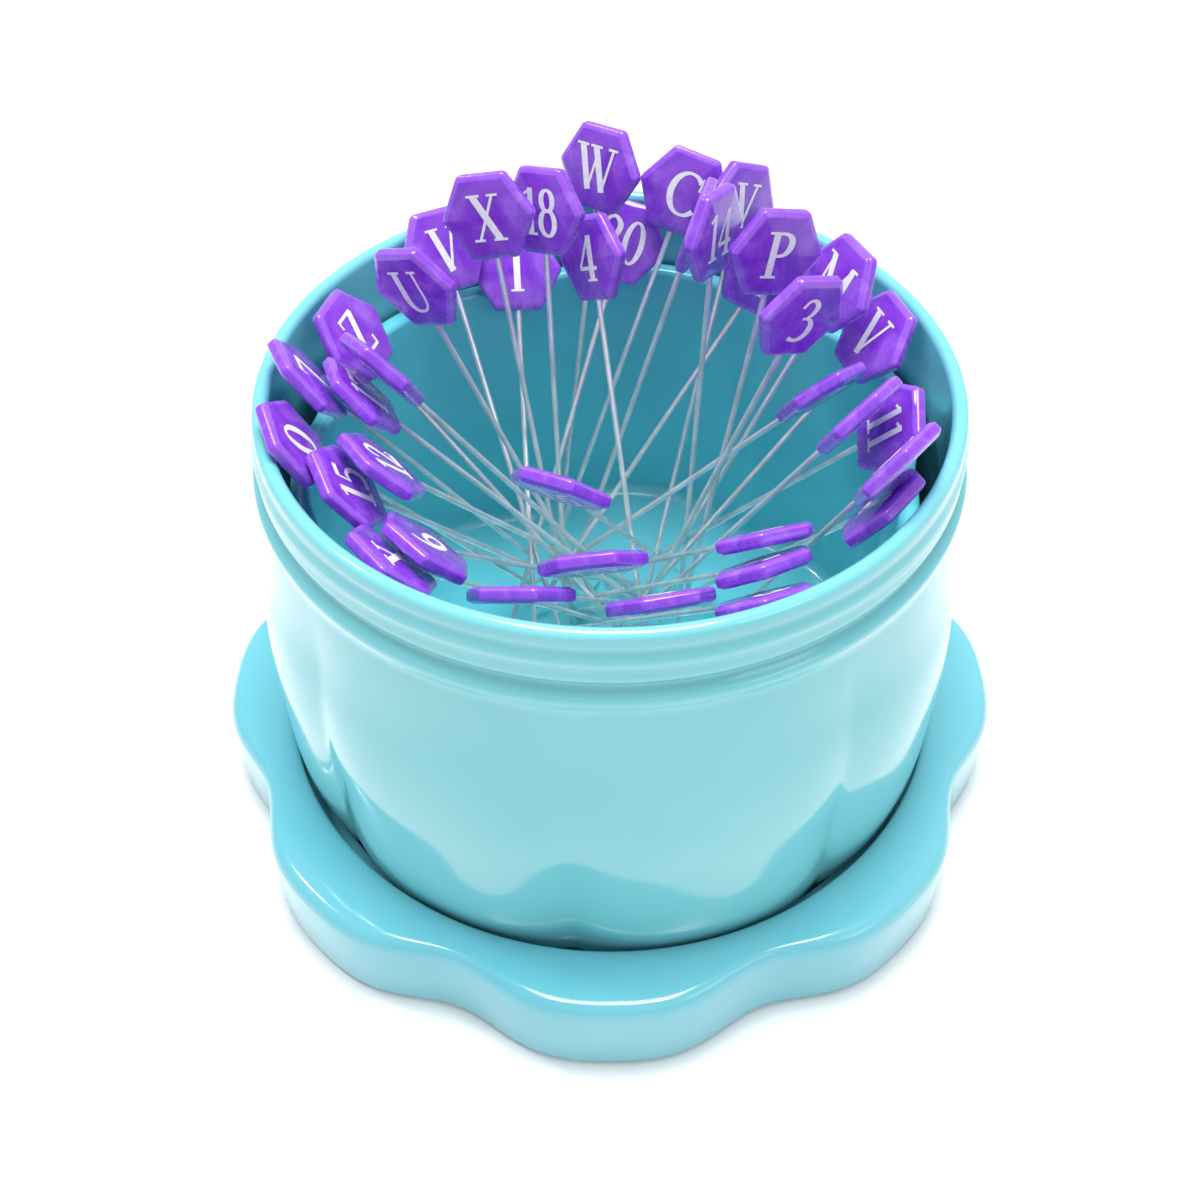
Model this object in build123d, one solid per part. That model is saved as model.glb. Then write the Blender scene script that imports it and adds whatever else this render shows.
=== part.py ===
from build123d import *
import math
import os

os.makedirs("parts", exist_ok=True)

# Pin bowl: a round cup with fluted sides stands in a scalloped saucer, which is also its lid.
# A lobed liner inside holds the pins, whose tips stand on the floor above a hidden magnet.
# Millimetres, +Z up. The origin is the centre of the saucer's flat underside.
# Front is -Y. Turns are counted anticlockwise from +X, seen from above.

# Cup shell, worked out inwards from its widest radius
belly_r = 37.4
neck_step = 2.2
band_step = 0.3
lip_step = 0.35
lip_w = 1.6
foot_step = 3.0
neck_r = belly_r - neck_step
band_r = neck_r - band_step
lip_outer_r = band_r - lip_step
lip_inner_r = lip_outer_r - lip_w
foot_r = belly_r - foot_step
cup_h = 51.5
cup_seat_gap = 0.1
cup_wall = 2.0
foot_h = 3.8
foot_wall = 2.0
shell_root = 1.0
flute_depth = 1.3
rim_h = 8.6
lip_shoulder = 2.2
groove_r = 0.8
groove_bite = 0.45
upper_groove_down = 1.9
lower_groove_down = 5.9
bead_r = 1.0
bead_proud = 0.3
bead_down = 7.6
ledge_w = 1.2
ledge_t = 1.2
cup_flutes = 8
cup_turn = -6
flute_sharpness = 2.5

# Saucer lid: its bore takes the cup's foot, and the cup's band when it is turned over as a lid
lid_bore_gap = 0.1
recess_step = 0.4
recess_gap = 0.3
dish_w = 5.0
saucer_rim_w = 2.5
saucer_notch_depth = 3.0
saucer_fullness = 0.37
saucer_h = 10.5
saucer_floor = 2.4
saucer_top_edge = 1.7
saucer_foot_edge = 0.8
dish_drop = 0.8
recess_edge = 0.5
saucer_lobes = 8
lid_bore_r = band_r + lid_bore_gap
lid_bore_depth = foot_h + cup_seat_gap - recess_gap
recess_r = belly_r - recess_step
dish_r = recess_r + dish_w
saucer_lobe_r = dish_r + saucer_rim_w
saucer_notch_r = saucer_lobe_r - saucer_notch_depth

# Heights of the fluted body's sections as shares of its height, with the radius there as a
# share of the belly's and the flute's depth as a share of the deepest.
body_section_shares = [
    (0.00, 0.953, 0.75),
    (0.10, 0.978, 0.90),
    (0.20, 0.988, 1.00),
    (0.35, 0.995, 1.00),
    (0.50, 1.000, 0.85),
    (0.65, 0.987, 0.65),
    (0.80, 0.961, 0.40),
]

# Well liner, which fits inside the rim
liner_down = 8.0
liner_rim_gap = 0.55
liner_draft = 0.2
liner_top_cusp_depth = 1.9
liner_base_cusp_depth = 3.2
liner_foot_step = 3.0
liner_top_lobe_r = lip_inner_r - liner_rim_gap
liner_base_lobe_r = liner_top_lobe_r - liner_draft
liner_top_cusp_r = liner_top_lobe_r - liner_top_cusp_depth
liner_base_cusp_r = liner_base_lobe_r - liner_base_cusp_depth
liner_foot_r = liner_base_cusp_r - liner_foot_step
liner_wall = 2.0
liner_cusp_round = 0.6
liner_lip_round = 0.7
well_floor_h = 9.5
liner_floor_t = 1.6
liner_foot_wall = 1.4
liner_lobes = 6
liner_turn = 52

# Magnet and base cover
magnet_inset = 8.0
magnet_r = liner_foot_r - magnet_inset
magnet_t = 4.0
magnet_edge = 0.4
magnet_gap = 0.2
magnet_cup_wall = 1.4
cover_t = 1.6
cover_recess = 0.6
cover_gap = 0.2
cover_edge = 0.4
locating_ring_w = 1.2
locating_ring_h = 1.5

# Pins
pin_length = 54.46
shaft_d = 0.6
point_length = 3.0
point_d = 0.08
head_flats = 8.92
head_t = 1.5
head_corner_round = 0.7
head_face_round = 0.45
head_depth = 4.0
head_bore_gap = 0.02
tip_clearance = 0.1

# One overrun for every cut that has to break through a face
overrun = 1.0

# Levels that follow from the sizes above
cup_foot_z = saucer_floor + cup_seat_gap
rim_z = cup_foot_z + cup_h
body_base_z = cup_foot_z + foot_h
body_top_z = rim_z - rim_h
well_floor_z = cup_foot_z + well_floor_h
liner_base_z = well_floor_z - liner_floor_t
liner_top_z = rim_z - liner_down
cover_base_z = cup_foot_z + cover_recess
cover_top_z = cover_base_z + cover_t
tip_z = well_floor_z + tip_clearance

# Points on the outline of one lobe or flute
points_per_lobe = 8

# Where each pin stands, going round the bowl from its right side. The first two numbers
# place the tip, as shares of the magnet's radius towards +X and +Y. The others are degrees:
# the bearing it leans to, its lean from upright and its turn about its own shaft.
# The first table holds the pins that slide out one at a time, each a body of its own.
loose_pin_shares = [
    (0.05, 0.06, 5.5, 20.5, -66),
    (-0.57, 0.66, -16.5, 41, -28),
    (-0.13, 0.03, 17.5, 38.5, 3),
    (0.08, 0.20, 21.5, 28, 4),
    (0.42, 0.16, 43, 14, 66),
    (0.20, 0.36, 62, 26.5, 66),
    (0.45, 0.30, 74, 9.5, 72),
    (-0.71, 0.02, 63.5, 39.5, 18),
    (-0.38, 0.84, 66.5, 17, -12),
    (0.28, -0.33, 105, 32, -63),
    (-0.28, 0.26, 96.5, 19, -41),
    (-0.25, 0.33, 120.5, 18.5, -43),
    (-0.24, -0.11, 118, 36, 6),
    (-0.01, 0.37, 174.5, 22.5, 66),
    (0.20, 0.09, 163.5, 39, 1),
    (0.26, 0.48, -165, 34, 23),
    (0.36, 0.33, -170, 39, 11),
    (0.17, 0.67, -139.5, 40.5, -5),
    (-0.06, 0.75, -117, 44.5, -19),
    (0.49, 0.81, -115.5, 38.5, 2),
    (0.22, 0.65, -99.5, 42, 13),
    (-0.23, 0.45, -75.5, 43.5, -1),
    (-0.28, 0.55, -57.5, 45, -5),
    (-0.07, 0.83, -63.5, 44.5, -7),
    (0.59, 0.65, -63, 38.5, 24),
    (0.06, 0.78, -35, 39.5, 39),
]

# The pins under and between those, which keep their places in the cup.
packed_pin_shares = [
    (-0.54, 0.38, 25.5, 35.5, 74),
    (-0.31, 0.63, 24, 18.5, -36),
    (-0.46, 0.77, 41.5, 26, 36),
    (-0.45, -0.44, 94, 43.5, 4),
    (-0.21, 0.61, -156.5, 34, 1),
    (-0.44, 0.62, -137.5, 36, -26),
    (-0.01, 0.56, -138, 41, -23),
    (0.09, 0.30, -129, 42.5, -13),
    (0.16, 0.53, -108, 44.5, 13),
    (-0.35, 0.27, -55.5, 45, -10),
    (0.36, -0.15, -35.5, 27.5, -3),
    (-0.18, -0.05, -11.5, 33, -24),
]


def ring(outer, inner, low, high):
    """A round tube between two levels."""
    tube = Circle(outer) - Circle(inner)
    return extrude(Pos(0, 0, low) * tube, high - low)


def disc(radius, low, high):
    return extrude(Pos(0, 0, low) * Circle(radius), high - low)


def wavy_face(radius_at, lobes, z):
    """A closed face whose radius follows radius_at(turn in radians)."""
    count = lobes * points_per_lobe
    points = []
    for k in range(count):
        turn = math.tau * k / count
        r = radius_at(turn)
        points.append((r * math.cos(turn), r * math.sin(turn), z))
    return make_face(Spline(points, periodic=True))


def saucer_radius(turn):
    """Broad lobes with tight notches: a wave and its first overtone."""
    middle = (saucer_lobe_r + saucer_notch_r) / 2 + saucer_fullness
    wave = (saucer_lobe_r - saucer_notch_r) / 2
    first = wave * math.cos(saucer_lobes * turn)
    return middle + first - saucer_fullness * math.cos(2 * saucer_lobes * turn)


def make_saucer():
    body = extrude(wavy_face(saucer_radius, saucer_lobes, 0), saucer_h)
    body = fillet(body.edges().group_by(Axis.Z)[-1], saucer_top_edge)
    body = fillet(body.edges().group_by(Axis.Z)[0], saucer_foot_edge)
    dish = Polyline(
        (0, saucer_h + overrun),
        (0, saucer_h - dish_drop),
        (recess_r, saucer_h - dish_drop),
        (dish_r, saucer_h),
        (dish_r, saucer_h + overrun),
        close=True,
    )
    body -= revolve(Plane.XZ * make_face(dish), Axis.Z)
    recess = disc(recess_r, saucer_floor + lid_bore_depth, saucer_h)
    recess = fillet(recess.edges().group_by(Axis.Z)[0], recess_edge)
    bore = disc(lid_bore_r, saucer_floor, saucer_h)
    bore = fillet(bore.edges().group_by(Axis.Z)[0], recess_edge)
    return body - recess - bore


def body_section(row, inset, z):
    """One section of the fluted body, drawn in by inset."""
    _, radius_share, flute_share = row

    def radius_at(turn):
        wave = (1 + math.cos(cup_flutes * turn)) / 2
        flute = flute_depth * flute_share * wave**flute_sharpness
        return belly_r * radius_share - flute - inset

    return Rot(0, 0, cup_turn) * wavy_face(radius_at, cup_flutes, z)


def fluted_body(inset, low, high):
    rows = body_section_shares + [(1.0, neck_r / belly_r, 0.0)]
    return loft([body_section(row, inset, low + (high - low) * row[0]) for row in rows])


def rim_form():
    """The rim's outside: a rolled lip and a flat band with two grooves, over a bead."""
    lip_r = (lip_outer_r - lip_inner_r) / 2
    low = body_top_z - shell_root
    side = Polyline(
        (lip_outer_r - lip_r, rim_z),
        (0, rim_z),
        (0, low),
        (band_r, low),
        (band_r, rim_z - lip_shoulder),
        (lip_outer_r, rim_z - lip_r),
    )
    lip = RadiusArc((lip_outer_r, rim_z - lip_r), (lip_outer_r - lip_r, rim_z), -lip_r)
    rim = revolve(Plane.XZ * make_face(side + lip), Axis.Z)
    for down in (upper_groove_down, lower_groove_down):
        groove = Pos(band_r + groove_r - groove_bite, rim_z - down) * Circle(groove_r)
        rim -= revolve(Plane.XZ * groove, Axis.Z)
    bead = Pos(neck_r + bead_proud - bead_r, rim_z - bead_down) * Circle(bead_r)
    return rim + revolve(Plane.XZ * bead, Axis.Z)


def rim_hollow():
    """The hollow inside the rim, which flares over the inner half of the rolled lip."""
    lip_r = (lip_outer_r - lip_inner_r) / 2
    low = body_top_z - 2 * shell_root
    side = Polyline(
        (lip_inner_r, rim_z - lip_r),
        (lip_inner_r, low),
        (0, low),
        (0, rim_z + overrun),
        (lip_inner_r + lip_r, rim_z + overrun),
        (lip_inner_r + lip_r, rim_z),
    )
    lip = RadiusArc((lip_inner_r + lip_r, rim_z), (lip_inner_r, rim_z - lip_r), -lip_r)
    return revolve(Plane.XZ * make_face(side + lip), Axis.Z)


def make_cup_shell():
    """The cup's turned rim and foot on its fluted body, hollow from end to end."""
    foot_in = foot_r - foot_wall
    ledge_r = foot_in - ledge_w
    shell = fluted_body(0, body_base_z, body_top_z) + rim_form()
    shell += disc(foot_r, cup_foot_z, body_base_z + shell_root)
    shell -= fluted_body(cup_wall, body_base_z + shell_root, body_top_z - shell_root)
    shell -= disc(foot_in, cup_foot_z - overrun, body_base_z + 2 * shell_root)
    shell -= rim_hollow()
    ledge_z = cover_top_z + cover_gap
    return shell + ring(foot_in + foot_wall / 2, ledge_r, ledge_z, ledge_z + ledge_t)


def lobed_face(lobe_r, cusp_r, z):
    """Round lobes that meet in rounded cusps."""
    step = math.tau / liner_lobes
    arcs = []
    for k in range(liner_lobes):
        points = []
        for share, r in ((0, cusp_r), (1 / 2, lobe_r), (1, cusp_r)):
            turn = step * (k + share)
            points.append((r * math.cos(turn), r * math.sin(turn)))
        arcs.append(ThreePointArc(*points))
    face = make_face(Curve() + arcs)
    face = fillet(face.vertices(), liner_cusp_round)
    return Pos(0, 0, z) * Rot(0, 0, liner_turn) * face


def liner_section(level, inset):
    """The liner's section, drawn in by inset. It widens from the base to the top edge."""
    rise = (level - liner_base_z) / (liner_top_z - liner_base_z)
    lobe = liner_base_lobe_r + (liner_top_lobe_r - liner_base_lobe_r) * rise
    cusp = liner_base_cusp_r + (liner_top_cusp_r - liner_base_cusp_r) * rise
    return lobed_face(lobe - inset, cusp - inset, level)


def liner_form(low, inset, edge_way):
    """The liner's outside, or its hollow. The top edge turns inwards by 1 or outwards by -1."""
    half_turned = math.radians(45)
    rows = [
        (low, 0),
        (liner_top_z - liner_lip_round, 0),
        (
            liner_top_z - liner_lip_round * (1 - math.sin(half_turned)),
            liner_lip_round * (1 - math.cos(half_turned)),
        ),
        (liner_top_z, liner_lip_round),
    ]
    return loft([liner_section(z, inset + edge_way * turned) for z, turned in rows], ruled=True)


def make_well_liner():
    liner = liner_form(liner_base_z, 0, 1) - liner_form(well_floor_z, liner_wall, -1)
    foot_low = cover_top_z + cover_gap
    liner += ring(liner_foot_r, liner_foot_r - liner_foot_wall, foot_low, liner_base_z)
    pocket_r = magnet_r + magnet_gap
    pocket_low = liner_base_z - magnet_gap - magnet_t
    return liner + ring(pocket_r + magnet_cup_wall, pocket_r, pocket_low, liner_base_z)


def make_magnet():
    top = liner_base_z - magnet_gap
    magnet = disc(magnet_r, top - magnet_t, top)
    return fillet(magnet.edges(), magnet_edge)


def make_base_cover():
    """The cup's underside, with a ring round the liner's foot and a step under the magnet."""
    cover = disc(foot_r - foot_wall - cover_gap, cover_base_z, cover_top_z)
    cover = fillet(cover.edges().group_by(Axis.Z)[0], cover_edge)
    ring_r = liner_foot_r + cover_gap
    cover += ring(ring_r + locating_ring_w, ring_r, cover_top_z, cover_top_z + locating_ring_h)
    step_top = liner_base_z - 2 * magnet_gap - magnet_t
    return cover + disc(magnet_r - magnet_gap, cover_top_z, step_top)


def make_shaft():
    """A pin's steel shaft, from its point at the origin up +Z into the head."""
    r = shaft_d / 2
    top = pin_length - head_flats + head_depth
    outline = Polyline(
        (0, 0), (point_d / 2, 0), (r, point_length), (r, top), (0, top), close=True
    )
    return revolve(Plane.XZ * make_face(outline), Axis.Z)


def make_head():
    """A pin's flat hexagonal head, standing on one edge, with its faces towards +Y and -Y."""
    outline = RegularPolygon(head_flats / 2, 6, major_radius=False)
    head = extrude(Plane.XZ * outline, head_t / 2, both=True)
    head = fillet(head.edges().filter_by(Axis.Y), head_corner_round)
    faces = head.faces().sort_by(Axis.Y)
    head = fillet(faces[0].edges() + faces[-1].edges(), head_face_round)
    bore = Cylinder(shaft_d / 2 + head_bore_gap, head_depth + overrun)
    head -= Pos(0, 0, (head_depth - head_flats - overrun) / 2) * bore
    return Pos(0, 0, pin_length - head_flats / 2) * head


def pin_place(row):
    """A pin's frame: its tip, +Z up its shaft and +Y out of its head's upper face."""
    x_share, y_share, bearing, lean, turn = row
    tip = Pos(magnet_r * x_share, magnet_r * y_share, tip_z)
    return tip * Rot(0, 0, bearing) * Rot(0, lean, 0) * Rot(0, 0, turn + 90)


def export_pins():
    shaft = make_shaft()
    head = make_head()
    for number, row in enumerate(loose_pin_shares, start=1):
        export_step(pin_place(row) * shaft, f"parts/pin_shaft_{number:02d}.step")
        export_step(pin_place(row) * head, f"parts/pin_head_{number:02d}.step")
    packed_shafts = [pin_place(row) * shaft for row in packed_pin_shares]
    packed_heads = [pin_place(row) * head for row in packed_pin_shares]
    export_step(Compound(children=packed_shafts), "parts/packed_shafts.step")
    export_step(Compound(children=packed_heads), "parts/packed_heads.step")


export_step(make_saucer(), "parts/saucer_lid.step")
export_step(make_cup_shell(), "parts/cup_shell.step")
export_step(make_well_liner(), "parts/well_liner.step")
export_step(make_magnet(), "parts/magnet_disc.step")
export_step(make_base_cover(), "parts/base_cover.step")
export_pins()
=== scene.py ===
import math

import bmesh
import bpy
from mathutils import Matrix, Vector


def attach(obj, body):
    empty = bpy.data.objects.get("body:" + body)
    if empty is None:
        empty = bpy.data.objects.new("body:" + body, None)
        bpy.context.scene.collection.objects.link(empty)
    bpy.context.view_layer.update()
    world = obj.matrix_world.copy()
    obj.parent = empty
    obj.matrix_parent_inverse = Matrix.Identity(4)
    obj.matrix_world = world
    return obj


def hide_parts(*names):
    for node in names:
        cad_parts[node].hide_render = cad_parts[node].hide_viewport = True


# Magnetic pin bowl: skins for the saucer, the cup, its liner and the pins' heads, and the marks on the heads.
# The shafts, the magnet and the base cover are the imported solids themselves.

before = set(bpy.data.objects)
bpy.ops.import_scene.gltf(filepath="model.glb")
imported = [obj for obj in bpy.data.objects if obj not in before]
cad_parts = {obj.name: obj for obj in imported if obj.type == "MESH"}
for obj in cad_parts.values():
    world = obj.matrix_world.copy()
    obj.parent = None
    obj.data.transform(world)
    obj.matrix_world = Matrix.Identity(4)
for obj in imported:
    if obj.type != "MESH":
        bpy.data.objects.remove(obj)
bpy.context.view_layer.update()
MM = 0.001

# Camera, where the photograph was taken from
CAMERA_PLACE = (-0.00014, -0.11491, 0.14203)
CAMERA_TILT = 43.96
CAMERA_LENS = 44.19
CAMERA_SENSOR = 36
CAMERA_SHIFT_X = -0.0072
CAMERA_SHIFT_Y = -0.0023
CAMERA_CLIP_START = 0.01

camera = bpy.data.objects.new("camera", bpy.data.cameras.new("camera"))
bpy.context.scene.collection.objects.link(camera)
bpy.context.scene.camera = camera
camera.data.sensor_width = CAMERA_SENSOR
camera.data.lens = CAMERA_LENS
camera.data.shift_x = CAMERA_SHIFT_X
camera.data.shift_y = CAMERA_SHIFT_Y
camera.data.clip_start = CAMERA_CLIP_START
camera.location = CAMERA_PLACE
camera.rotation_euler = (math.radians(CAMERA_TILT), 0, 0)
bpy.context.scene.view_settings.view_transform = "Standard"

# Heights in millimetres that several pieces share, the same as the solids'
RIM_Z = 54.0
CUP_FOOT_Z = 2.5
BODY_BASE_Z = 6.3
BODY_TOP_Z = 45.4
LINER_TOP_Z = 46.0
LINER_BASE_Z = 10.4
WELL_FLOOR_Z = 12.0


# Materials
SRGB_KNEE = 10
SRGB_OFFSET = 0.055
SRGB_POWER = 2.4
SRGB_SLOPE = 12.92


def srgb(r, g, b):
    """A colour given as 0 to 255 on screen, as the linear colour that nodes use."""
    def linear(c):
        if c > SRGB_KNEE:
            return ((c / 255 + SRGB_OFFSET) / (1 + SRGB_OFFSET)) ** SRGB_POWER
        return c / 255 / SRGB_SLOPE

    return [linear(r), linear(g), linear(b), 1]


def grey(v):
    return (v, v, v, 1)


class Nodes:
    """A short way to write a material: its Principled shader and the nodes that feed it."""

    def __init__(self, name, **settings):
        """settings are sockets of the shader, with _ for a space."""
        self.material = bpy.data.materials.new(name)
        self.material.use_nodes = True
        self.tree = self.material.node_tree
        self.shader = self.tree.nodes["Principled BSDF"]
        for socket, value in settings.items():
            self.shader.inputs[socket.replace("_", " ")].default_value = value
        coordinates = self.tree.nodes.new("ShaderNodeTexCoord")
        self.object = coordinates.outputs["Object"]

    def add(self, kind, inputs):
        """A node whose inputs are set to constants or linked to other nodes' outputs."""
        node = self.tree.nodes.new(kind)
        for key, value in inputs.items():
            if isinstance(value, bpy.types.NodeSocket):
                self.tree.links.new(value, node.inputs[key])
            else:
                node.inputs[key].default_value = value
        return node

    def noise(self, scale, detail=2.0, rough=0.5, warp=0.0):
        node = self.add("ShaderNodeTexNoise", {"Vector": self.object, "Scale": scale, "Detail": detail,
                                               "Roughness": rough, "Distortion": warp})
        return node.outputs["Fac"]

    def ramp(self, value, *stops):
        """The colour of value between stops of (place, colour)."""
        node = self.add("ShaderNodeValToRGB", {"Fac": value})
        while len(node.color_ramp.elements) < len(stops):
            node.color_ramp.elements.new(0.5)
        for element, (place, colour) in zip(node.color_ramp.elements, stops):
            element.position = place
            element.color = colour
        return node.outputs["Color"]

    def into(self, socket, value):
        self.tree.links.new(value, self.shader.inputs[socket])

    def bump(self, value, distance, strength):
        node = self.add("ShaderNodeBump", {"Height": value, "Distance": distance, "Strength": strength})
        self.into("Normal", node.outputs["Normal"])


def plastic(name, deep, pale, roughness=0.12):
    """Glossy moulded plastic: a faint cloudy tint, polished flow marks and a slightly wavy skin."""
    n = Nodes(name, IOR=1.52, Coat_Weight=0.55, Coat_Roughness=0.04,
              Subsurface_Weight=0.12, Subsurface_Scale=0.002, Subsurface_Radius=(0.6, 1.0, 1.0))
    duller = roughness + 0.09
    cloud = n.noise(scale=38, detail=3, rough=0.55)
    flow = n.noise(scale=240, detail=4, rough=0.6)
    n.into("Base Color", n.ramp(cloud, (0.30, deep), (0.72, pale)))
    n.into("Roughness", n.ramp(flow, (0.35, grey(roughness)), (0.8, grey(duller))))
    n.bump(n.noise(scale=70, detail=2, rough=0.4), distance=0.0002, strength=0.06)
    return n.material


def head_plastic(name, *colours):
    """Pearly violet plastic: swirled darker and lighter streaks of three colours under a glossy skin."""
    n = Nodes(name, IOR=1.49, Coat_Weight=0.7, Coat_Roughness=0.16,
              Subsurface_Weight=0.4, Subsurface_Scale=0.0012, Subsurface_Radius=(0.7, 0.3, 1.0))
    swirl = n.noise(scale=190, detail=3, rough=0.55, warp=1.8)
    n.into("Base Color", n.ramp(swirl, *zip((0.28, 0.52, 0.76), colours)))
    n.into("Roughness", n.ramp(n.noise(scale=900), (0.3, grey(0.20)), (0.8, grey(0.34))))
    n.bump(swirl, distance=0.0001, strength=0.25)
    return n.material


def steel():
    """Bright drawn wire with fine scratches and slightly darker patches."""
    n = Nodes("pin_steel", Metallic=0.6)
    n.into("Base Color", n.ramp(n.noise(scale=420, detail=3), (0.3, grey(0.70)), (0.7, grey(0.94))))
    n.into("Roughness", n.ramp(n.noise(scale=1500, detail=3), (0.3, grey(0.10)), (0.8, grey(0.24))))
    n.bump(n.noise(scale=3000), distance=0.00002, strength=0.2)
    return n.material


def ink():
    """White hot-stamped foil, a little uneven."""
    n = Nodes("mark_white", Roughness=0.4)
    n.into("Base Color", n.ramp(n.noise(scale=2500, detail=3), (0.3, grey(0.80)), (0.7, grey(0.98))))
    n.bump(n.noise(scale=4000), distance=0.00002, strength=0.2)
    return n.material


def ferrite():
    """Dark pressed ferrite with a fine grain."""
    n = Nodes("magnet_grey", Metallic=0.3)
    grain = n.noise(scale=900, detail=5, rough=0.7)
    n.into("Base Color", n.ramp(grain, (0.3, grey(0.015)), (0.75, grey(0.06))))
    n.into("Roughness", n.ramp(n.noise(scale=1500, detail=3), (0.3, grey(0.45)), (0.8, grey(0.7))))
    n.bump(n.noise(scale=1800, detail=4), distance=0.00005, strength=0.4)
    return n.material


def floor_white():
    """A smooth white table, very slightly uneven."""
    n = Nodes("floor_white", Roughness=0.35)
    n.into("Base Color", n.ramp(n.noise(scale=3, detail=3), (0.3, grey(0.94)), (0.7, grey(0.97))))
    return n.material


CUP = plastic("cup_plastic", srgb(112, 198, 208), srgb(126, 206, 214))
SAUCER = plastic("saucer_plastic", srgb(104, 192, 208), srgb(120, 200, 214))
LINER = plastic("liner_plastic", srgb(98, 208, 220), srgb(114, 214, 226), roughness=0.18)
HEAD = head_plastic("head_plastic", srgb(120, 44, 200), srgb(140, 68, 213), srgb(168, 108, 228))
# The head plastic again but lighter: a painted highlight for the sloped borders, where the bevels catch the
# light
HEAD_BEVEL_HIGHLIGHT = head_plastic("head_bevel_painted_highlight", srgb(136, 66, 210), srgb(152, 88, 220), srgb(182, 130, 236))
STEEL = steel()
INK = ink()
FERRITE = ferrite()


# Skins: rings of points joined into smooth closed meshes
SHARP_ANGLE = 40


def skin(name, rings, material, hollow=False, sharp=SHARP_ANGLE):
    """A closed skin over rings of as many points each. A hollow one joins its last ring to its first."""
    count = len(rings[0])
    verts = [Vector(p) * MM for ring in rings for p in ring]
    faces = []
    pairs = len(rings) if hollow else len(rings) - 1
    for i in range(pairs):
        a, b = i * count, (i + 1) % len(rings) * count
        for k in range(count):
            after = (k + 1) % count
            faces.append((a + k, a + after, b + after, b + k))
    if not hollow:
        for start, way in ((0, -1), ((len(rings) - 1) * count, 1)):
            middle = len(verts)
            verts.append(sum((verts[start + k] for k in range(count)), Vector()) / count)
            for k in range(count):
                faces.append((start + k, start + (k + 1) % count, middle)[::way])
    mesh = bpy.data.meshes.new(name)
    mesh.from_pydata(verts, [], faces)
    mesh.shade_smooth()
    mesh.set_sharp_from_angle(angle=math.radians(sharp))
    mesh.materials.append(material)
    return mesh


def turns(count):
    """Angles of count even steps round a circle."""
    return [math.tau * k / count for k in range(count)]


def arc(x, y, r, start, end, steps):
    """Points on an arc from start to end degrees."""
    out = []
    for k in range(steps + 1):
        t = math.radians(start + (end - start) * k / steps)
        out.append((x + r * math.cos(t), y + r * math.sin(t)))
    return out


def ease(rows, x):
    """A smooth curve through rows of (x, y, ...), read at x."""
    i = max(k for k in range(len(rows) - 1) if rows[k][0] <= x or k == 0)
    p0, p1, p2, p3 = (rows[min(max(i + d, 0), len(rows) - 1)] for d in (-1, 0, 1, 2))
    span = p2[0] - p1[0]
    t = (x - p1[0]) / span
    out = []
    for y0, y1, y2, y3 in zip(p0[1:], p1[1:], p2[1:], p3[1:]):
        m1 = (y2 - y0) / (p2[0] - p0[0]) * span
        m2 = (y3 - y1) / (p3[0] - p1[0]) * span
        out.append((2 * t**3 - 3 * t**2 + 1) * y1 + (t**3 - 2 * t**2 + t) * m1
                   + (3 * t**2 - 2 * t**3) * y2 + (t**3 - t**2) * m2)
    return out


def smooth(rows, steps):
    """Points on a smooth curve through rows of (r, z), with steps from each row to the next."""
    keyed = [(k, *row) for k, row in enumerate(rows)]
    return [ease(keyed, k / steps) for k in range((len(rows) - 1) * steps + 1)]


def soft_min(a, b, width):
    """The smaller of a and b, rounded off where they are less than width apart."""
    h = max(width - abs(a - b), 0) / width
    return min(a, b) - h * h * width / 4


# Saucer
SAUCER_H = 10.5
SAUCER_FLOOR = 2.4
SAUCER_LOBES = 8
SAUCER_LOBE_POINTS = 44
SAUCER_LOBE_R = 44.5
SAUCER_NOTCH_R = 41.5
SAUCER_FULLNESS = 0.37
SAUCER_TOP_EDGE = 1.7
SAUCER_FOOT_EDGE = 0.8
DISH_R = 42.0
DISH_DROP = 0.8
DISH_BLEND = 0.35
DISH_ROWS = 8
RECESS_R = 37.0
RECESS_EDGE = 0.35
RECESS_CORNER = 0.5
LID_BORE_R = 35.0
LID_BORE_EDGE = 0.2
LID_STEP_Z = 6.0
FLOOR_RINGS_R = (20, 6)


def saucer_outline(inset, z_at):
    """The scalloped outline, drawn in squarely by inset. z_at gives a point's height from its radius."""
    middle = (SAUCER_LOBE_R + SAUCER_NOTCH_R) / 2 + SAUCER_FULLNESS
    wave = (SAUCER_LOBE_R - SAUCER_NOTCH_R) / 2
    ring = []
    for t in turns(SAUCER_LOBES * SAUCER_LOBE_POINTS):
        lobe = SAUCER_LOBES * t
        r = middle + wave * math.cos(lobe) - SAUCER_FULLNESS * math.cos(2 * lobe)
        slope = SAUCER_LOBES * (2 * SAUCER_FULLNESS * math.sin(2 * lobe) - wave * math.sin(lobe))
        out = Vector((math.cos(t), math.sin(t)))
        along = slope * out + r * Vector((-out.y, out.x))
        normal = Vector((along.y, -along.x)).normalized()
        p = r * out - inset * normal
        ring.append((p.x, p.y, z_at(p.length)))
    return ring


def saucer_top(r):
    """The height of the dished top at a radius."""
    return SAUCER_H - DISH_DROP * min(max((DISH_R - r) / (DISH_R - RECESS_R), 0), 1)


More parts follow.
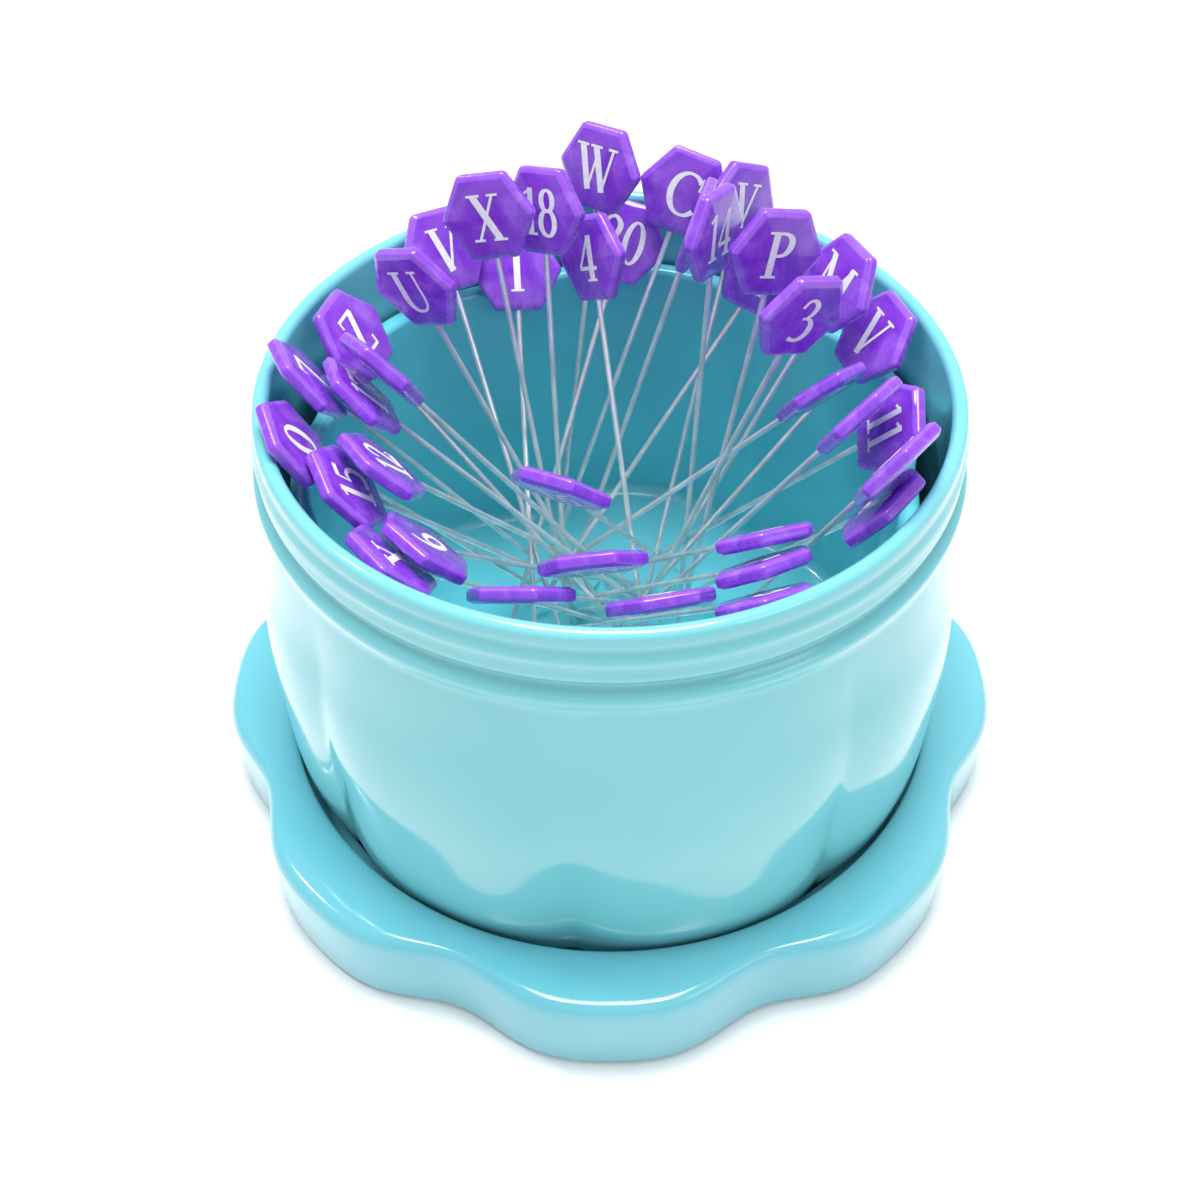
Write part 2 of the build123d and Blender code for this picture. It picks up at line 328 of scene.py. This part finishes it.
def make_saucer():
    """The saucer from the middle of its underside, over its edge and dish, down into the stepped recess."""
    rings = []
    foot = SAUCER_FOOT_EDGE
    for x, z in arc(foot, foot, foot, -90, -180, 5):
        rings.append(saucer_outline(x, lambda r: z))
    rings.append(saucer_outline(0, lambda r: (SAUCER_H - SAUCER_TOP_EDGE + foot) / 2))
    for x, z in arc(SAUCER_TOP_EDGE, SAUCER_H - SAUCER_TOP_EDGE, SAUCER_TOP_EDGE, 180, 90, 12):
        rings.append(saucer_outline(x, lambda r: soft_min(z, saucer_top(r), DISH_BLEND)))
    edge = rings[-1]
    for k in range(1, DISH_ROWS + 1):
        ring = []
        for x, y, _ in edge:
            r = math.hypot(x, y)
            new = r + (RECESS_R + RECESS_EDGE - r) * k / DISH_ROWS
            ring.append((x / r * new, y / r * new, soft_min(SAUCER_H, saucer_top(new), DISH_BLEND)))
        rings.append(ring)
    top = saucer_top(RECESS_R)
    inner = arc(RECESS_R + RECESS_EDGE, top - RECESS_EDGE, RECESS_EDGE, 90, 180, 4)[1:]
    inner += arc(RECESS_R - RECESS_CORNER, LID_STEP_Z + RECESS_CORNER, RECESS_CORNER, 0, -90, 4)
    inner += arc(LID_BORE_R + LID_BORE_EDGE, LID_STEP_Z - LID_BORE_EDGE, LID_BORE_EDGE, 90, 180, 3)
    inner += arc(LID_BORE_R - RECESS_CORNER, SAUCER_FLOOR + RECESS_CORNER, RECESS_CORNER, 0, -90, 4)
    inner += [(r, SAUCER_FLOOR) for r in FLOOR_RINGS_R]
    for r, z in inner:
        rings.append([(x / math.hypot(x, y) * r, y / math.hypot(x, y) * r, z) for x, y, _ in edge])
    return skin("saucer_lid_skin", rings, SAUCER)


# Cup shell
BELLY_R = 37.4
NECK_R = 35.2
BAND_R = 34.9
CUP_FOOT_R = 34.4
CUP_FOOT_EDGE = 0.4
LIP_OUTER_R = 34.55
LIP_INNER_R = 32.95
CUP_WALL = 2.0
CUP_TURN = -6
FLUTES = 8
FLUTE_POINTS = 40
FLUTE_DEPTH = 1.3
FLUTE_SHARPNESS = 1.8
CREASE_ROUND = 0.04
BODY_LEAD = 0.3
BODY_ROWS = 40
BODY_INNER_ROWS = 16
# Shares of the fluted body's height, of the belly's radius and of the flutes' depth
BODY_SHARES = [(0.00, 0.957, 0.75), (0.10, 0.983, 0.90), (0.20, 0.993, 1.00), (0.35, 0.997, 1.00),
               (0.50, 1.000, 0.85), (0.65, 0.987, 0.65), (0.80, 0.961, 0.40), (1.00, NECK_R / BELLY_R, 0.0)]
# The rim's outside from the body up to the lip, as radius and drop below the rim's top:
# a bead, a soft groove, the flat band with a thin raised ring, and a softer groove
RIM_SIDE = [
    (NECK_R + 0.02, 8.75), (NECK_R + 0.16, 8.25), (NECK_R + 0.33, 7.7), (NECK_R + 0.26, 7.1),
    (BAND_R + 0.05, 6.7), (BAND_R - 0.30, 6.35), (BAND_R - 0.42, 6.0), (BAND_R - 0.28, 5.65),
    (BAND_R - 0.06, 5.35), (BAND_R, 4.9), (BAND_R - 0.05, 4.2), (BAND_R - 0.04, 3.6),
    (BAND_R + 0.05, 3.15), (BAND_R + 0.04, 2.8), (BAND_R - 0.14, 2.4), (BAND_R - 0.32, 2.0),
    (BAND_R - 0.36, 1.65), (BAND_R - 0.32, 1.3), (LIP_OUTER_R + 0.02, 1.0),
]
RIM_SIDE_STEPS = 3
LIP_INNER_DROP = 4


def cup_ring(r, z, flute=0.0):
    """A ring round the cup with creases as deep as flute between its flutes."""
    ring = []
    for t in turns(FLUTES * FLUTE_POINTS):
        crease = 1 - math.sqrt(math.sin(FLUTES * t / 2) ** 2 + CREASE_ROUND**2)
        new = r - flute * max(crease, 0) ** FLUTE_SHARPNESS
        turned = t + math.radians(CUP_TURN)
        ring.append((new * math.cos(turned), new * math.sin(turned), z))
    return ring


def body_ring(share, inset=0.0):
    """A ring of the fluted body at a share of its height."""
    radius, flute = ease(BODY_SHARES, share)
    z = BODY_BASE_Z + (BODY_TOP_Z - BODY_BASE_Z) * share
    return cup_ring(BELLY_R * radius - inset, z, FLUTE_DEPTH * max(flute, 0))


def make_cup():
    """The shell from its foot up the outside, over the lip and down the inside."""
    lip = (LIP_OUTER_R - LIP_INNER_R) / 2
    middle = LIP_INNER_R + lip
    foot = arc(CUP_FOOT_R - CUP_FOOT_EDGE, CUP_FOOT_Z + CUP_FOOT_EDGE, CUP_FOOT_EDGE, -90, 0, 3)
    foot += [(CUP_FOOT_R, BODY_BASE_Z - BODY_LEAD), (CUP_FOOT_R + BODY_LEAD, BODY_BASE_Z)]
    rings = [cup_ring(r, z) for r, z in foot]
    rings += [body_ring(k / BODY_ROWS) for k in range(BODY_ROWS)]
    side = [(r, RIM_Z - down) for r, down in smooth(RIM_SIDE, RIM_SIDE_STEPS)]
    side += arc(middle, RIM_Z - lip, lip, 10, 180, 16)
    side += [(LIP_INNER_R, z) for z in (RIM_Z - LIP_INNER_DROP, LINER_TOP_Z, BODY_TOP_Z)]
    rings += [cup_ring(r, z) for r, z in side]
    rings += [body_ring(k / BODY_INNER_ROWS, CUP_WALL) for k in range(BODY_INNER_ROWS - 1, 1, -1)]
    rings += [cup_ring(CUP_FOOT_R - CUP_WALL, z) for z in (BODY_BASE_Z + CUP_WALL, CUP_FOOT_Z)]
    return skin("cup_shell_skin", rings, CUP, hollow=True)


# Well liner, with the radii of its lobes and of the cusps between them at its top and its base
LINER_TOP = (32.4, 30.5)
LINER_BASE = (32.2, 29.0)
LINER_WALL = 2.0
LINER_LIP = 0.7
LINER_FOOT_EDGE = 0.6
LINER_TURN = 52
LINER_LOBES = 6
LINER_LOBE_POINTS = 48
CUSP_BLEND = 0.7
WELL_CORNER = 1.5
LINER_OUTER_ROWS_Z = (20, 30, 40)
LINER_INNER_ROWS_Z = (42, 36, 30, 24, 18, 15)
WELL_FLOOR_SHARES = (0.8, 0.5, 0.2)


def lobed_ring(z, inset):
    """Six round lobes that meet in softened cusps."""
    rise = (z - LINER_BASE_Z) / (LINER_TOP_Z - LINER_BASE_Z)
    lobe = LINER_BASE[0] + (LINER_TOP[0] - LINER_BASE[0]) * rise - inset
    cusp = LINER_BASE[1] + (LINER_TOP[1] - LINER_BASE[1]) * rise - inset
    half = math.pi / LINER_LOBES
    centre = (lobe**2 - cusp**2) / (2 * (lobe - cusp * math.cos(half)))
    bend = lobe - centre

    def reach(turn):
        return centre * math.cos(turn) + math.sqrt(max(bend**2 - (centre * math.sin(turn)) ** 2, 0))

    ring = []
    for t in turns(LINER_LOBES * LINER_LOBE_POINTS):
        off = (t % (2 * half)) - half
        near, other = reach(off), reach(2 * half - abs(off))
        r = -soft_min(-near, -other, CUSP_BLEND)
        turned = t + math.radians(LINER_TURN)
        ring.append((r * math.cos(turned), r * math.sin(turned), z))
    return ring


def make_liner():
    """The liner from its underside up the outside, over its lip and down to the well's floor."""
    rows = [(LINER_FOOT_EDGE, LINER_BASE_Z), (0, LINER_BASE_Z + LINER_FOOT_EDGE)]
    rows += [(0, z) for z in LINER_OUTER_ROWS_Z]
    rows += arc(LINER_LIP, LINER_TOP_Z - LINER_LIP, LINER_LIP, 180, 90, 6)
    rows += arc(LINER_WALL - LINER_LIP, LINER_TOP_Z - LINER_LIP, LINER_LIP, 90, 0, 6)
    rows += [(LINER_WALL, z) for z in LINER_INNER_ROWS_Z]
    rows += arc(LINER_WALL + WELL_CORNER, WELL_FLOOR_Z + WELL_CORNER, WELL_CORNER, 180, 270, 7)
    rings = [lobed_ring(z, inset) for inset, z in rows]
    floor = rings[-1]
    for share in WELL_FLOOR_SHARES:
        rings.append([(x * share, y * share, z) for x, y, z in floor])
    return skin("well_liner_skin", rings, LINER)


# Pins, where the part's source puts them. Each row has its tip's place as shares of the magnet's radius, the
# bearing and the lean of its shaft, the turn of its head, and the mark on it.
MAGNET_R = 18.0
TIP_Z = 12.1
HEAD_UP = 50.0
LOOSE = [
    (0.05, 0.06, 5.5, 20.5, -66, "3"),
    (-0.57, 0.66, -16.5, 41, -28, "7"),
    (-0.13, 0.03, 17.5, 38.5, 3, "V"),
    (0.08, 0.20, 21.5, 28, 4, "M"),
    (0.42, 0.16, 43, 14, 66, "P"),
    (0.20, 0.36, 62, 26.5, 66, "V"),
    (0.45, 0.30, 74, 9.5, 72, "14"),
    (-0.71, 0.02, 63.5, 39.5, 18, "20"),
    (-0.38, 0.84, 66.5, 17, -12, "W"),
    (0.28, -0.33, 105, 32, -63, "4"),
    (-0.28, 0.26, 96.5, 19, -41, "18"),
    (-0.25, 0.33, 120.5, 18.5, -43, "X"),
    (-0.24, -0.11, 118, 36, 6, "V"),
    (-0.01, 0.37, 174.5, 22.5, 66, "U"),
    (0.20, 0.09, 163.5, 39, 1, "Z"),
    (0.26, 0.48, -165, 34, 23, "2"),
    (0.36, 0.33, -170, 39, 11, "17"),
    (0.17, 0.67, -139.5, 40.5, -5, "12"),
    (-0.06, 0.75, -117, 44.5, -19, "6"),
    (0.49, 0.81, -115.5, 38.5, 2, "16"),
    (0.22, 0.65, -99.5, 42, 13, "10"),
    (-0.23, 0.45, -75.5, 43.5, -1, "8"),
    (-0.28, 0.55, -57.5, 45, -5, "5"),
    (-0.07, 0.83, -63.5, 44.5, -7, "9"),
    (0.59, 0.65, -63, 38.5, 24, "1"),
    (0.06, 0.78, -35, 39.5, 39, "11"),
]
PACKED = [
    (-0.54, 0.38, 25.5, 35.5, 74, "Z"),
    (-0.31, 0.63, 24, 18.5, -36, "M"),
    (-0.46, 0.77, 41.5, 26, 36, "C"),
    (-0.45, -0.44, 94, 43.5, 4, "I"),
    (-0.21, 0.61, -156.5, 34, 1, "7"),
    (-0.44, 0.62, -137.5, 36, -26, "0"),
    (-0.01, 0.56, -138, 41, -23, "15"),
    (0.09, 0.30, -129, 42.5, -13, "X"),
    (0.16, 0.53, -108, 44.5, 13, "13"),
    (-0.35, 0.27, -55.5, 45, -10, "P"),
    (0.36, -0.15, -35.5, 27.5, -3, "19"),
    (-0.18, -0.05, -11.5, 33, -24, "4"),
]

HEAD_FLATS = 8.92
HEAD_T = 1.5
HEAD_SIDES = 6
HEAD_CORNER = 0.7
HEAD_LEAST_CORNER = 0.18
HEAD_CORNER_STEPS = 6
HEAD_SHARP_ANGLE = 60
# Half of the head's edge, from its flat face over the sloped border to its side, as inset and drop
HEAD_EDGE = [(0.62, 0), (0.55, 0.02), (0.16, 0.22), (0.05, 0.31), (0, 0.45)]
# Rows of sloped border faces that take the lighter head plastic, a painted highlight
BEVEL_HIGHLIGHT_ROWS = (1, 2, 3)


def head_mesh():
    """A flat hexagonal head with rounded corners and a sloped border round each face; the border faces take a
    lighter copy of the head plastic, a painted highlight.
    """
    upper = [(inset, HEAD_T / 2 - drop) for inset, drop in HEAD_EDGE]
    rows = upper + [(inset, -y) for inset, y in upper[::-1]]
    sweep = 360 / HEAD_SIDES
    rings = []
    for inset, y in rows:
        corner = max(HEAD_CORNER - inset, HEAD_LEAST_CORNER)
        reach = (HEAD_FLATS / 2 - inset - corner) / math.cos(math.radians(sweep / 2))
        ring = []
        for k in range(HEAD_SIDES):
            t = math.radians(sweep * k)
            for step in range(HEAD_CORNER_STEPS + 1):
                a = t + math.radians(-sweep / 2 + sweep / HEAD_CORNER_STEPS * step)
                ring.append((reach * math.cos(t) + corner * math.cos(a), y,
                             reach * math.sin(t) + corner * math.sin(a)))
        rings.append(ring)
    mesh = skin("pin_head_skin", rings, HEAD, sharp=HEAD_SHARP_ANGLE)
    # The second, lighter material goes on the border rows: a painted highlight on the bevels
    mesh.materials.append(HEAD_BEVEL_HIGHLIGHT)
    count = len(rings[0])
    for row in BEVEL_HIGHLIGHT_ROWS:
        for start in (row * count, (len(rows) - 2 - row) * count):
            for k in range(count):
                mesh.polygons[start + k].material_index = 1
    return mesh


def head_place(row):
    """A head's frame in millimetres: +Z along its shaft and +Y out of its upper face."""
    x, y, bearing, lean, turn = row[:5]
    place = Matrix.Translation((MAGNET_R * x, MAGNET_R * y, TIP_Z))
    for angle, axis in ((bearing, "Z"), (lean, "Y"), (turn + 90, "Z")):
        place = place @ Matrix.Rotation(math.radians(angle), 4, axis)
    return place @ Matrix.Translation((0, 0, HEAD_UP))


# Lettering: plain serif letters and figures, drawn as pen strokes of (x, y, width) at a height of 1
THICK = 0.15
THIN = 0.06
HAIR = 0.05
CURVE_STEPS = 6
BOWL_STEPS = 32
BOWL_STRESS = 1.3


def curve(*points):
    """A smooth stroke through points."""
    out = []
    for k in range(len(points) - 1):
        p = [Vector(points[min(max(k + d, 0), len(points) - 1)]) for d in (-1, 0, 1, 2)]
        for step in range(CURVE_STEPS):
            t = step / CURVE_STEPS
            out.append(0.5 * (2 * p[1] + (p[2] - p[0]) * t + (2 * p[0] - 5 * p[1] + 4 * p[2] - p[3]) * t * t
                              + (3 * p[1] - p[0] - 3 * p[2] + p[3]) * t ** 3))
    return out + [Vector(points[-1])]


def bowl(x, y, rx, ry, start=0, end=360):
    """Part of an ellipse with a broad pen: thick at its sides and thin above and below."""
    out = []
    for k in range(BOWL_STEPS + 1):
        t = math.radians(start + (end - start) * k / BOWL_STEPS)
        width = THIN + (THICK - THIN) * abs(math.cos(t)) ** BOWL_STRESS
        out.append(Vector((x + rx * math.cos(t), y + ry * math.sin(t), width)))
    return out


def line(x0, y0, x1, y1, w=THICK):
    return [Vector((x0, y0, w)), Vector((x1, y1, w))]


def serif(x, y, half=0.15):
    return line(x - half, y, x + half, y, HAIR)


SIX = [curve((0.49, 0.97, 0.04), (0.28, 0.84, 0.09), (0.12, 0.58, 0.14), (0.11, 0.34, THICK)),
       bowl(0.31, 0.29, 0.20, 0.27)]
# Each glyph's width and its strokes
GLYPHS = {
    "0": (0.62, [bowl(0.31, 0.5, 0.22, 0.47)]),
    "1": (0.46, [line(0.25, 0.02, 0.25, 0.99), line(0.25, 0.96, 0.07, 0.86, THIN), serif(0.25, 0.025, 0.18)]),
    "2": (0.62, [curve((0.08, 0.74, 0.07), (0.14, 0.92, 0.08), (0.30, 0.98, 0.08), (0.46, 0.85, 0.14),
                       (0.46, 0.67, 0.15), (0.32, 0.40, 0.10), (0.07, 0.06, 0.06)),
                 line(0.06, 0.05, 0.53, 0.05, 0.11), line(0.53, 0.04, 0.57, 0.22, HAIR)]),
    "3": (0.58, [curve((0.08, 0.80, 0.07), (0.16, 0.95, 0.07), (0.30, 0.98, 0.08), (0.43, 0.86, 0.13),
                       (0.42, 0.70, 0.12), (0.32, 0.57, 0.07), (0.20, 0.54, 0.05)),
                 curve((0.26, 0.56, 0.05), (0.42, 0.50, 0.09), (0.50, 0.33, 0.15), (0.44, 0.12, 0.13),
                       (0.26, 0.02, 0.08), (0.06, 0.08, 0.10))]),
    "4": (0.62, [line(0.38, 0.96, 0.04, 0.30, THIN), line(0.03, 0.28, 0.58, 0.28, 0.08),
                 line(0.40, 0.02, 0.40, 0.98), serif(0.40, 0.025)]),
    "5": (0.58, [line(0.14, 0.93, 0.48, 0.93, 0.11), line(0.15, 0.95, 0.11, 0.55, HAIR),
                 curve((0.11, 0.56, 0.05), (0.28, 0.62, 0.08), (0.45, 0.50, 0.13), (0.48, 0.28, THICK),
                       (0.35, 0.06, 0.11), (0.06, 0.06, 0.08))]),
    "6": (0.60, SIX),
    "7": (0.58, [line(0.06, 0.93, 0.54, 0.93, 0.11), line(0.51, 0.93, 0.24, 0.0, 0.12),
                 line(0.06, 0.96, 0.04, 0.78, HAIR)]),
    "8": (0.60, [bowl(0.30, 0.75, 0.17, 0.22), bowl(0.30, 0.28, 0.21, 0.27)]),
    "9": (0.60, [[Vector((0.60 - p.x, 0.98 - p.y, p.z)) for p in stroke] for stroke in SIX]),
    "C": (0.78, [bowl(0.44, 0.5, 0.35, 0.47, 42, 318), line(0.70, 0.64, 0.73, 0.94, HAIR)]),
    "I": (0.42, [line(0.21, 0, 0.21, 1), serif(0.21, 0.975), serif(0.21, 0.025)]),
    "M": (0.98, [line(0.14, 0, 0.14, 0.97, THIN), line(0.14, 0.97, 0.49, 0.06),
                 line(0.49, 0.06, 0.83, 0.97, THIN), line(0.83, 0, 0.83, 0.97), serif(0.12, 0.025, 0.12),
                 serif(0.83, 0.025), serif(0.08, 0.975, 0.10), serif(0.88, 0.975, 0.10)]),
    "P": (0.64, [line(0.19, 0, 0.19, 0.98),
                 curve((0.19, 0.96, 0.05), (0.40, 0.96, 0.07), (0.54, 0.85, 0.13), (0.54, 0.66, 0.14),
                       (0.42, 0.51, 0.08), (0.19, 0.48, 0.05)),
                 serif(0.19, 0.025, 0.17), serif(0.13, 0.975, 0.11)]),
    "U": (0.80, [curve((0.17, 0.98, 0.14), (0.17, 0.60, 0.14), (0.18, 0.26, 0.14), (0.28, 0.06, 0.10),
                       (0.44, 0.02, 0.06), (0.58, 0.09, 0.06), (0.65, 0.28, 0.06), (0.65, 0.60, 0.06),
                       (0.65, 0.98, 0.06)),
                 serif(0.17, 0.975), serif(0.65, 0.975, 0.12)]),
    "V": (0.72, [line(0.12, 0.97, 0.38, 0.02), line(0.36, 0.02, 0.61, 0.97, THIN), serif(0.13, 0.975),
                 serif(0.60, 0.975, 0.12)]),
    "W": (1.06, [line(0.12, 0.97, 0.34, 0.02), line(0.33, 0.02, 0.52, 0.80, THIN),
                 line(0.47, 0.97, 0.71, 0.02), line(0.70, 0.02, 0.93, 0.97, THIN), serif(0.12, 0.975),
                 serif(0.48, 0.975), serif(0.92, 0.975, 0.12)]),
    "X": (0.74, [line(0.13, 0.97, 0.59, 0.03), line(0.57, 0.97, 0.14, 0.03, THIN), serif(0.14, 0.975),
                 serif(0.57, 0.975, 0.12), serif(0.13, 0.025, 0.12), serif(0.60, 0.025)]),
    "Z": (0.66, [line(0.07, 0.95, 0.58, 0.95, 0.07), line(0.54, 0.95, 0.11, 0.05),
                 line(0.06, 0.05, 0.60, 0.05, 0.07), line(0.08, 0.97, 0.06, 0.78, HAIR),
                 line(0.59, 0.03, 0.62, 0.24, HAIR)]),
}
MARK_HEIGHT = 4.9
MARK_SUNK = 0.03
MARK_PROUD = 0.03
STROKE_STEP = 0.003
PAIR_SQUEEZE = 0.86


def mark_mesh(text):
    """The strokes of a mark as thin raised ribbons, centred, facing +Y with +Z up.

    Each next stroke of a glyph stands a little prouder, so that crossing strokes don't lie in one plane.
    """
    width = sum(GLYPHS[c][0] for c in text)
    left = -width / 2
    squeeze = PAIR_SQUEEZE if len(text) > 1 else 1.0
    verts, faces = [], []
    for c in text:
        for k, stroke in enumerate(GLYPHS[c][1]):
            base = len(verts)
            count = len(stroke)
            for i, p in enumerate(stroke):
                ahead = stroke[min(i + 1, count - 1)].xy - stroke[max(i - 1, 0)].xy
                side = Vector((-ahead.y, ahead.x)).normalized() * p.z / 2
                for way in (1, -1):
                    x = (p.x + way * side.x + left) * squeeze * MARK_HEIGHT
                    z = (p.y + way * side.y - 0.5) * MARK_HEIGHT
                    for y in (-MARK_SUNK, MARK_PROUD + STROKE_STEP * k):
                        verts.append((-x * MM, (HEAD_T / 2 + y) * MM, z * MM))
            for i in range(count - 1):
                a, b = base + 4 * i, base + 4 * i + 4
                faces += [(a + 1, b + 1, b + 3, a + 3), (a, a + 2, b + 2, b)]
                faces += [(a, b, b + 1, a + 1), (a + 2, a + 3, b + 3, b + 2)]
            e = base + 4 * (count - 1)
            faces += [(base, base + 1, base + 3, base + 2), (e, e + 2, e + 3, e + 1)]
        left += GLYPHS[c][0]
    mesh = bpy.data.meshes.new("mark_" + text)
    mesh.from_pydata(verts, [], faces)
    mesh.materials.append(INK)
    shell = bmesh.new()
    shell.from_mesh(mesh)
    bmesh.ops.recalc_face_normals(shell, faces=shell.faces)
    shell.to_mesh(mesh)
    shell.free()
    return mesh


# Pieces on their bodies
def add_piece(name, mesh, body, node=None, place=None):
    """A piece that rides a body. place is in millimetres, and node is the solids' node that it replaces."""
    obj = bpy.data.objects.new(name, mesh)
    bpy.context.scene.collection.objects.link(obj)
    if place is not None:
        matrix = place.copy()
        matrix.translation = place.translation * MM
        obj.matrix_world = matrix
    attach(obj, body)
    if node:
        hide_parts(node)


def pins():
    """Each pin's row with its group, its number in the group and its body."""
    for group, rows in (("loose", LOOSE), ("packed", PACKED)):
        for k, row in enumerate(rows, 1):
            yield group, f"{k:02d}", row, f"pin_{k:02d}" if group == "loose" else "cup"


def add_heads():
    mesh = head_mesh()
    for group, number, row, body in pins():
        node = f"pin_head_{number}" if group == "loose" else "packed_heads"
        add_piece(f"{group}_head_{number}", mesh, body, node, head_place(row))


def add_marks():
    """Each head's mark, on the face that the camera sees."""
    eye = camera.location / MM
    meshes = {text: mark_mesh(text) for text in sorted({row[5] for row in LOOSE + PACKED})}
    for group, number, row, body in pins():
        place = head_place(row)
        if (eye - place.translation).dot(place.to_3x3().col[1]) < 0:
            place = place @ Matrix.Rotation(math.pi, 4, "Z")
        add_piece(f"{group}_mark_{number}", meshes[row[5]], body, place=place)


def paint(obj, material):
    obj.data.materials.clear()
    obj.data.materials.append(material)


add_piece("saucer_skin", make_saucer(), "saucer", "saucer_lid")
add_piece("cup_skin", make_cup(), "cup", "cup_shell")
add_piece("liner_skin", make_liner(), "cup", "well_liner")
add_heads()
add_marks()

for name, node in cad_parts.items():
    if "shaft" in name:
        paint(node, STEEL)
    elif "head" in name:
        paint(node, HEAD)
    elif name == "magnet_disc":
        paint(node, FERRITE)
    elif name == "well_liner":
        paint(node, LINER)
    elif name == "cup_shell":
        paint(node, CUP)
    else:
        paint(node, SAUCER)


# Floor and light, in metres and watts
FLOOR_HALF = 1.5
FLOOR_DROP = 0.0001
WORLD_COLOR = (0.97, 0.99, 1.0, 1)
WORLD_STRENGTH = 0.66
LIGHT_AIM = Vector((0, 0, 0.03))
# Name, place, size and power of each light
LIGHTS = [
    ("top", (0, 0.06, 0.6), 0.26, 3.5),
    ("key", (-0.28, 0.12, 0.45), 0.05, 0.35),
    ("fill", (0.35, -0.30, 0.35), 0.20, 0.2),
]


def stage_floor():
    mesh = bpy.data.meshes.new("floor")
    s = FLOOR_HALF
    mesh.from_pydata([(-s, -s, 0), (s, -s, 0), (s, s, 0), (-s, s, 0)], [], [(0, 1, 2, 3)])
    mesh.materials.append(floor_white())
    floor = bpy.data.objects.new("floor", mesh)
    floor.location.z = -FLOOR_DROP
    bpy.context.scene.collection.objects.link(floor)


def add_light(name, place, size, power):
    lamp = bpy.data.objects.new(name, bpy.data.lights.new(name, "AREA"))
    lamp.data.size = size
    lamp.data.energy = power
    lamp.location = place
    aim = LIGHT_AIM - Vector(place)
    lamp.rotation_euler = aim.to_track_quat("-Z", "Y").to_euler()
    bpy.context.scene.collection.objects.link(lamp)


stage_floor()
world = bpy.data.worlds.new("studio")
bpy.context.scene.world = world
world.use_nodes = True
world.node_tree.nodes["Background"].inputs["Color"].default_value = WORLD_COLOR
world.node_tree.nodes["Background"].inputs["Strength"].default_value = WORLD_STRENGTH
for settings in LIGHTS:
    add_light(*settings)
